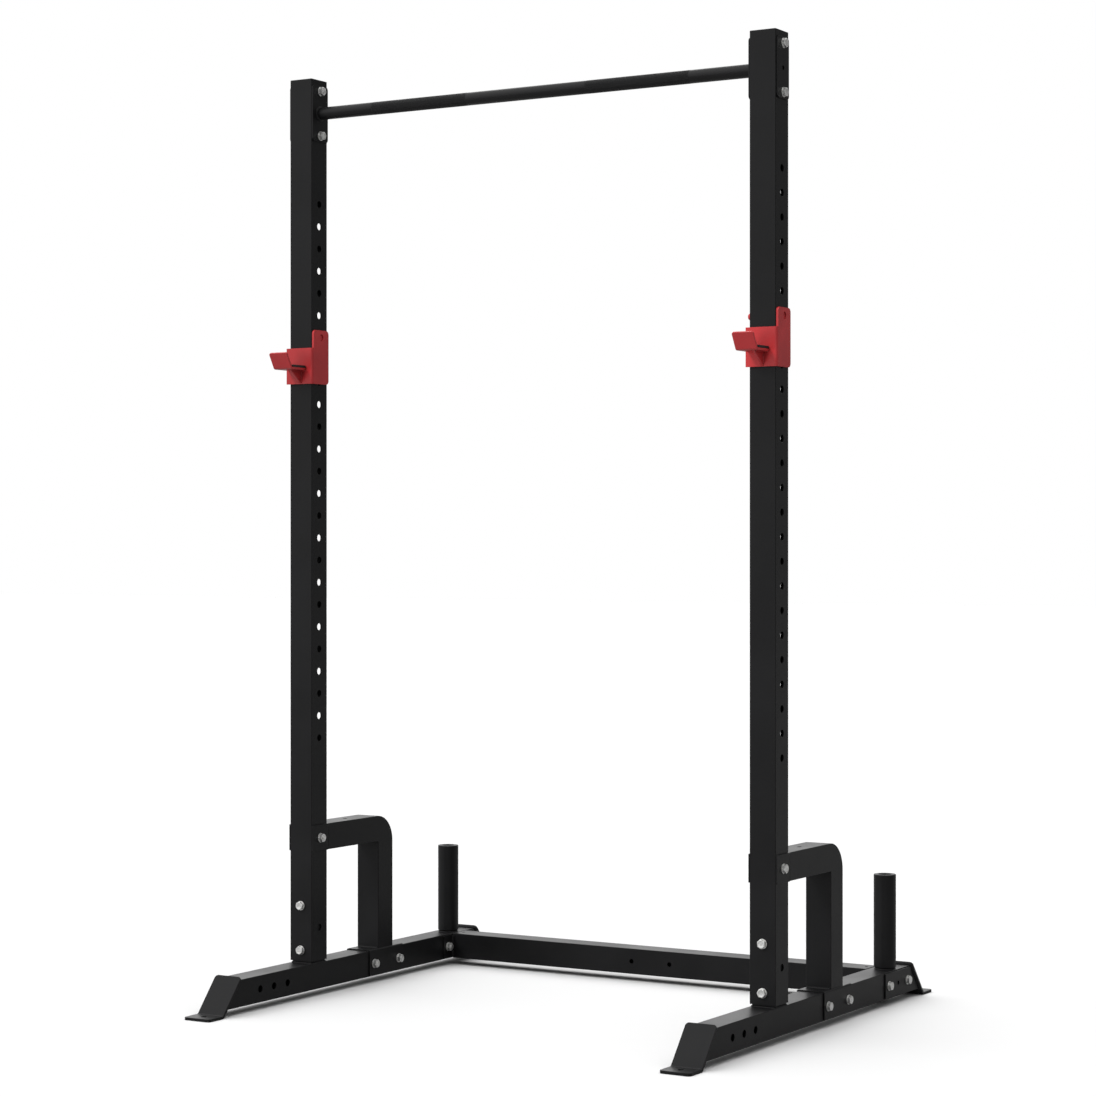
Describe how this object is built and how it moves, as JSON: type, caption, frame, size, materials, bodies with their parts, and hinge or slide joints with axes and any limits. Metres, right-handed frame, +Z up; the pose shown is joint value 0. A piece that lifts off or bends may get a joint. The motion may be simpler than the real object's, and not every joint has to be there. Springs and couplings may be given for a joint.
{
  "type": "power cage",
  "caption": "Free-standing squat stand: two drilled square uprights on runners with bent feet and braces, a pull-up bar, J-hooks and plate posts.",
  "frame": {"origin": "on the floor, at the centre of the four anchor holes, which is the centre of the footprint", "axes": "+X from the left upright to the right one, +Y from front to back, +Z up"},
  "size_m": [1.2624, 1.188, 2.094],
  "materials": {
    "black_powder_coat": "fine-textured satin powder coat",
    "bar_coat": "satin powder coat, knurled at the two grips",
    "red_powder_coat": "satin powder coat",
    "zinc_fasteners": "bright zinc plate",
    "black_plastic": "moulded, lightly textured",
    "seat_pad": "matt moulded plastic"
  },
  "bodies": {
    "frame": {"bar_bolts": "zinc_fasteners", "bar_end_plate_left": "black_powder_coat", "bar_end_plate_right": "black_powder_coat", "bar_nuts": "zinc_fasteners", "bar_outer_plate_left": "black_powder_coat", "bar_outer_plate_right": "black_powder_coat", "bar_washers": "zinc_fasteners", "brace_bracket_left": "black_powder_coat", "brace_bracket_right": "black_powder_coat", "brace_left": "black_powder_coat", "brace_right": "black_powder_coat", "brace_saddle_left": "black_powder_coat", "brace_saddle_right": "black_powder_coat", "bracket_bolts": "zinc_fasteners", "bracket_nuts": "zinc_fasteners", "bracket_washers": "zinc_fasteners", "crossmember_bolts": "zinc_fasteners", "crossmember_end_plate_left": "black_powder_coat", "crossmember_end_plate_right": "black_powder_coat", "crossmember_nuts": "zinc_fasteners", "crossmember_outer_plate_left": "black_powder_coat", "crossmember_outer_plate_right": "black_powder_coat", "crossmember_washers": "zinc_fasteners", "front_foot_left": "black_powder_coat", "front_foot_right": "black_powder_coat", "plate_post_cap_left": "black_plastic", "plate_post_cap_right": "black_plastic", "plate_post_left": "black_powder_coat", "plate_post_right": "black_powder_coat", "plate_post_stub_left": "black_powder_coat", "plate_post_stub_right": "black_powder_coat", "pull_up_bar": "bar_coat", "rear_crossmember": "black_powder_coat", "rear_foot_left": "black_powder_coat", "rear_foot_right": "black_powder_coat", "runner_left": "black_powder_coat", "runner_right": "black_powder_coat", "saddle_bolts": "zinc_fasteners", "saddle_nuts": "zinc_fasteners", "saddle_washers": "zinc_fasteners", "upright_bolts": "zinc_fasteners", "upright_cap_left": "black_plastic", "upright_cap_right": "black_plastic", "upright_left": "black_powder_coat", "upright_nuts": "zinc_fasteners", "upright_right": "black_powder_coat", "upright_stub_left": "black_powder_coat", "upright_stub_right": "black_powder_coat", "upright_washers": "zinc_fasteners"},
    "hook_left_peg": {"hook_peg_left": "red_powder_coat"},
    "hook_left": {"hook_bracket_left": "red_powder_coat", "hook_seat_left": "red_powder_coat", "hook_pad_left": "seat_pad", "hook_gusset_left": "red_powder_coat"},
    "hook_right_peg": {"hook_peg_right": "red_powder_coat"},
    "hook_right": {"hook_bracket_right": "red_powder_coat", "hook_seat_right": "red_powder_coat", "hook_pad_right": "seat_pad", "hook_gusset_right": "red_powder_coat"}
  },
  "joints": [
    {"name": "hook_left_pull_out", "type": "slide", "parent": "frame", "child": "hook_left_peg", "axis": [1, 0, 0], "range_m": [0, 0.085]},
    {"name": "hook_left_flip", "type": "hinge", "parent": "hook_left_peg", "child": "hook_left", "pos_m": [-0.587, -0.1812, 1.5042], "axis": [-1, 0, 0], "range_deg": [0, 75]},
    {"name": "hook_right_pull_out", "type": "slide", "parent": "frame", "child": "hook_right_peg", "axis": [1, 0, 0], "range_m": [0, 0.085]},
    {"name": "hook_right_flip", "type": "hinge", "parent": "hook_right_peg", "child": "hook_right", "pos_m": [0.587, -0.1812, 1.5042], "axis": [-1, 0, 0], "range_deg": [0, 75]}
  ]
}
